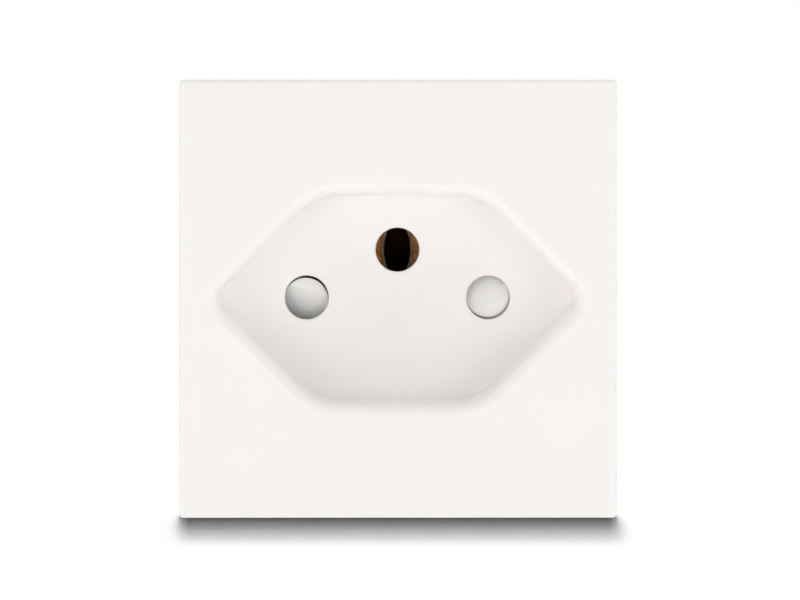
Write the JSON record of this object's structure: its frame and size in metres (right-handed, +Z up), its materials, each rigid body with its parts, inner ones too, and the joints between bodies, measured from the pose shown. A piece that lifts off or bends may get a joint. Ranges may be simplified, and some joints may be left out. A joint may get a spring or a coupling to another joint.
{
  "type": "earthed wall socket",
  "caption": "Square snap-in wall socket with a hexagonal plug recess, round pin holes with an offset earth, a rotary shutter behind the side holes and rear screw terminals.",
  "frame": {"origin": "centre of the seat plane, where the rear edge of the cover's skirt meets the support frame", "axes": "+X right and +Z up as seen from the front with the earth hole on top, +Y into the wall"},
  "size_m": [0.045, 0.041, 0.045],
  "materials": {
    "cover_plastic": "satin white moulded cover",
    "insert_plastic": "satin white moulded pin plate",
    "shutter_plastic": "natural white moulded shutter",
    "retainer_plastic": "dark inner plate",
    "body_plastic": "light grey moulded body",
    "contact_brass": "bare stamped brass",
    "spring_steel": "spring steel",
    "plated_steel": "zinc plated steel"
  },
  "bodies": {
    "housing": {"front_cover": "cover_plastic", "socket_insert": "insert_plastic", "shutter_retainer": "retainer_plastic", "shutter_spring": "spring_steel", "contact_carrier": "body_plastic", "left_contact": "contact_brass", "right_contact": "contact_brass", "earth_contact": "contact_brass", "left_contact_clip": "spring_steel", "right_contact_clip": "spring_steel", "earth_contact_clip": "spring_steel", "left_housing_screw": "plated_steel", "right_housing_screw": "plated_steel"},
    "shutter": {"shutter_rotor": "shutter_plastic"},
    "left_screw": {"left_terminal_screw": "plated_steel"},
    "left_cage": {"left_clamp_cage": "plated_steel"},
    "right_screw": {"right_terminal_screw": "plated_steel"},
    "right_cage": {"right_clamp_cage": "plated_steel"},
    "earth_screw": {"earth_terminal_screw": "plated_steel"},
    "earth_cage": {"earth_clamp_cage": "plated_steel"}
  },
  "joints": [
    {"name": "shutter_turn", "type": "hinge", "parent": "housing", "child": "shutter", "pos_m": [0, 0.0034, -0.0033], "axis": [0, 1, 0], "range_deg": [0, 30], "stiffness_Nm_per_rad": 0.002, "springref_deg": -17.19, "deforming": ["shutter_spring"]},
    {"name": "left_screw_turn", "type": "hinge", "parent": "housing", "child": "left_screw", "pos_m": [-0.0114, 0.025, -0.0156], "axis": [0, -1, 0], "range_deg": [0, 1080]},
    {"name": "left_cage_rise", "type": "slide", "parent": "housing", "child": "left_cage", "axis": [0, 1, 0], "range_m": [0, 0.0021]},
    {"name": "right_screw_turn", "type": "hinge", "parent": "housing", "child": "right_screw", "pos_m": [0.0114, 0.025, -0.0156], "axis": [0, -1, 0], "range_deg": [0, 1080]},
    {"name": "right_cage_rise", "type": "slide", "parent": "housing", "child": "right_cage", "axis": [0, 1, 0], "range_m": [0, 0.0021]},
    {"name": "earth_screw_turn", "type": "hinge", "parent": "housing", "child": "earth_screw", "pos_m": [0, 0.025, -0.0156], "axis": [0, -1, 0], "range_deg": [0, 1080]},
    {"name": "earth_cage_rise", "type": "slide", "parent": "housing", "child": "earth_cage", "axis": [0, 1, 0], "range_m": [0, 0.0021]}
  ],
  "couplings": [
    {"joint": "left_screw_turn", "follows": "left_cage_rise", "rad_per_m": 8976},
    {"joint": "right_screw_turn", "follows": "right_cage_rise", "rad_per_m": 8976},
    {"joint": "earth_screw_turn", "follows": "earth_cage_rise", "rad_per_m": 8976}
  ]
}
